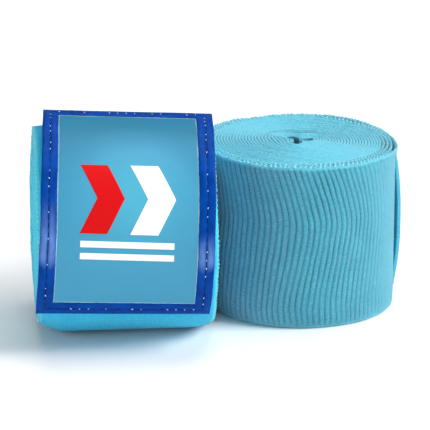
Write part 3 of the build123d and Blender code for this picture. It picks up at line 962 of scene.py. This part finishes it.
def hook_panel(roll):
    """A thin strip under the closure, covered with rows of small hooks and sewn round."""
    start, stop = roll.along(PANEL_START), roll.along(HOOK_STOP)
    along, height, round_in = rectangle(start, stop, HOOK_WIDTH, 1.2, 0.3)
    base = roll.backing_inner
    strip = laid_sheet(roll.name + "_hook_strip", roll, along, height, base - 0.06 - 0.24 * round_in,
                       np.full_like(along, base - 0.01), HOOKS)
    dress(strip, roll.name + "_hook_panel", roll.flap)
    hooks = []
    near, far = HOOK_MARGINS
    for at in np.arange(start + near, stop - far, HOOK_STEP):
        for number, level in enumerate(np.arange(-HOOK_WIDTH / 2 + near, HOOK_WIDTH / 2 - far, HOOK_ROW)):
            way = 1 if number % 2 else -1
            hooks.append(laid(roll, at + HOOK_ALONG * way, np.full(6, level), base - 0.24 + HOOK_DEPTH))
    rows = tubes_object(roll.name + "_hook_rows", hooks, HOOK_RADIUS, [HOOKS], sides=5)
    dress(rows, roll.name + "_hook_panel", roll.flap)
    inset = PANEL_STITCH_INSET
    seams = seam_frame(start + inset, stop - inset, HOOK_WIDTH - 2 * inset, PANEL_STITCH_PITCH)
    plain_thread(roll, "hook_panel_thread", "hook_panel_stitches", roll.flap,
                 worn_stitches(roll, seams, PANEL_STITCH_LENGTH, base - 0.34, -0.18))


def closure(roll):
    """The whole tab: its cloth, the label with its mark, its tapes and their thread, and the hook panel,
    all on the closure's body.
    """
    backing_cloth(roll)
    face = label_film(roll)
    trims = generic_mark(roll)
    trims += [binding(roll, end) for end in ("left", "right", "free", "root")]
    trims.append(binding_thread(roll))
    hook_panel(roll)


def loop_panel(roll):
    """The pile panel on the roll, under the closure."""
    start, stop = roll.along(PANEL_START), roll.along(LOOP_STOP)
    along, height, round_in = rectangle(start, stop, LOOP_WIDTH, 0.45, 0.8)
    hem = PANEL_STITCH_INSET
    inside = from_edges(along, height, start, stop, LOOP_WIDTH)
    valley = 0.22 * np.exp(-((inside - hem) / 0.45) ** 2)
    pile = 0.08 * noise2(along / 0.31, height / 0.33, 12)
    pile = pile + 0.10 * hashed(np.round(along * 7) * 57 + np.round(height * 7))
    thick = roll.loop_outer - roll.loop_inner - 0.15
    top = roll.loop_inner + 0.12 + (thick - 0.12) * round_in - valley + pile * round_in
    obj = sheet_object(roll.name + "_loop_pile", along, height, roll.on_roll(along, height, top),
                       roll.on_roll(along, height, roll.loop_inner), PILE)
    dress(obj, roll.name + "_loop_panel", roll.body)
    seams = seam_frame(start + hem, stop - hem, LOOP_WIDTH - 2 * hem, PANEL_STITCH_PITCH)
    threads = stitch_paths(roll.on_roll, seams, LOOP_STITCH_ALONG * PANEL_STITCH_LENGTH,
                           lambda middle: np.zeros(7), roll.loop_outer - 0.28 + LOOP_STITCH_LIFT)
    plain_thread(roll, "loop_panel_thread", "loop_panel_stitches", roll.body, threads)


# ---- the thumb loops

def zigzag():
    """The middle line of the pressed loop's folds."""
    x = THUMB_LEGS[2] / 2 - THUMB_LEGS[1] + THUMB_LEGS[0]
    y = -2 * THUMB_RISE
    spine = []
    for number, leg in enumerate(THUMB_LEGS):
        way = -1 if number % 2 == 0 else 1
        spine += [(x + way * leg * f, y) for f in np.linspace(0, 1, 8)]
        x += way * leg
        if number < len(THUMB_LEGS) - 1:
            spine += [(x + way * THUMB_RISE / 2 * math.sin(f), y + THUMB_RISE / 2 * (1 - math.cos(f)))
                      for f in np.linspace(0, math.pi, 9)[1:-1]]
        y += THUMB_RISE
    return np.array(spine)


def thumb_loop(roll):
    """A tape loop pressed flat and folded zigzag in the core, with its bar tack."""
    spine = zigzag()
    tangent = np.gradient(spine, axis=0)
    tangent /= np.linalg.norm(tangent, axis=1)[:, None]
    normal = np.stack([-tangent[:, 1], tangent[:, 0]], -1)
    offset = (THUMB_TAPE + THUMB_SLIT) / 2
    path = np.concatenate([spine + normal * offset, (spine - normal * offset)[::-1]])
    away = np.concatenate([normal, -normal[::-1]])
    length = np.concatenate([[0], np.cumsum(np.linalg.norm(np.diff(path, axis=0), axis=1))])
    half = THUMB_WIDTH / 2
    levels = np.concatenate([[-half, -half + 0.08, -half + 0.3], np.linspace(-half + 1, half - 1, 9),
                             [half - 0.3, half - 0.08, half]])
    round_in = rounded(half - np.abs(levels), 0.3) * 0.85 + 0.15
    ring_h = np.concatenate([levels, levels[::-1]])
    ring_d = np.concatenate([round_in, -round_in[::-1]]) * (THUMB_TAPE / 2 - 0.02)
    edge = 0.10 * wander(length, 3, 1.2)[:, None] * np.sign(ring_h)[None, :] * (np.abs(ring_h) > half - 0.4)
    u = path[:, None, 0] + away[:, None, 0] * ring_d[None, :]
    v = path[:, None, 1] + away[:, None, 1] * ring_d[None, :]
    core = roll.radius - (roll.half_turns - 1) * roll.step - BAND_THICKNESS
    reach = THUMB_LEGS[2] / 2 + THUMB_RISE / 2 + THUMB_TAPE + THUMB_SLIT / 2
    c, s = heading(THUMB_ANGLE)

    def placed(x, y, z):
        x = x + core - GAP - reach
        return roll.world(-roll.step + c * x - s * y, s * x + c * y, z)

    points = placed(u * THUMB_PRESS, (v + THUMB_RISE / 2) * THUMB_PRESS,
                    BAND_WIDTH / 2 + ring_h[None, :] + edge)
    fabric = np.stack(np.broadcast_arrays(length[:, None], ring_h[None, :], 0.0), -1).reshape(-1, 3)
    obj = make_object(roll.name + "_thumb_tape", points, ring_quads(*u.shape, closed=True), [TAPE], fabric)
    dress(obj, roll.name + "_thumb_loop", roll.body)
    threads = []
    for number in range(TACK_COUNT):
        z = BAND_WIDTH / 2 + (number - (TACK_COUNT - 1) / 2) * TACK_PITCH + TACK_ALONG
        threads.append(placed(reach - THUMB_TAPE + TACK_LIFT, np.zeros(7), z))
        threads.append(placed(reach + 0.55 + np.zeros(7), 0.02 * np.arange(7), z[::-1]))
    plain_thread(roll, "thumb_tack", "thumb_loop_stitches", roll.body, threads, TACK_THREAD)


for roll in (LYING, STANDING):
    wound_band(roll)
    selvedge(roll)
    closure(roll)
    loop_panel(roll)
    thumb_loop(roll)


# ---- floor, light and camera

def aimed(name, data, place, direction):
    """Links a light or camera at a place, looking along a direction."""
    obj = bpy.data.objects.new(name, data)
    obj.location = place
    obj.rotation_mode = "QUATERNION"
    obj.rotation_quaternion = direction.to_track_quat("-Z", "Y")
    bpy.context.scene.collection.objects.link(obj)
    return obj


def stage_and_light():
    """A pale floor and room, four area lights, and the camera fitted to the photograph's outlines."""
    world = bpy.data.worlds.new("studio")
    bpy.context.scene.world = world
    world.use_nodes = True
    background = world.node_tree.nodes["Background"]
    background.inputs[0].default_value = (1.0, 1.0, 1.0, 1.0)
    background.inputs[1].default_value = 0.22
    bpy.ops.mesh.primitive_plane_add(size=8.0, location=(0, 0, -0.0002))
    floor = bpy.context.object
    floor.name = "floor"
    n = Nodes("floor_paint")
    grain = n.noise(n.add("TexCoord").outputs["Object"], 40.0)
    paint = n.ramp(grain, [(0.0, (0.93, 0.93, 0.93)), (1.0, (0.95, 0.95, 0.95))])
    floor.data.materials.append(n.finish(Base_Color=paint, Roughness=0.9))
    target = Vector((0, 0, 0.03))
    for name, place, size, power in (    # metres and watts
            ("key", (1.2, -0.4, 0.95), 0.7, 25.0),
            ("front", (-0.2, -1.3, 0.6), 0.9, 1.2),
            ("fill", (-0.95, -0.85, 0.35), 0.8, 5.6),
            ("top", (0.15, 0.3, 1.3), 0.9, 9.0)):
        light = bpy.data.lights.new(name, "AREA")
        light.size, light.energy = size, power
        aimed(name, light, place, target - Vector(place))
    camera = bpy.data.cameras.new("camera")
    camera.lens, camera.sensor_width = 244.07, 36.0
    camera.clip_start, camera.clip_end = 0.05, 20.0
    yaw, pitch = 0.095, 0.311            # radians
    ahead = Vector((math.sin(yaw) * math.cos(pitch), math.cos(yaw) * math.cos(pitch), -math.sin(pitch)))
    bpy.context.scene.camera = aimed("camera", camera, (-0.08323, -0.84625, 0.3042), ahead)
    bpy.context.scene.view_settings.view_transform = "Standard"


stage_and_light()
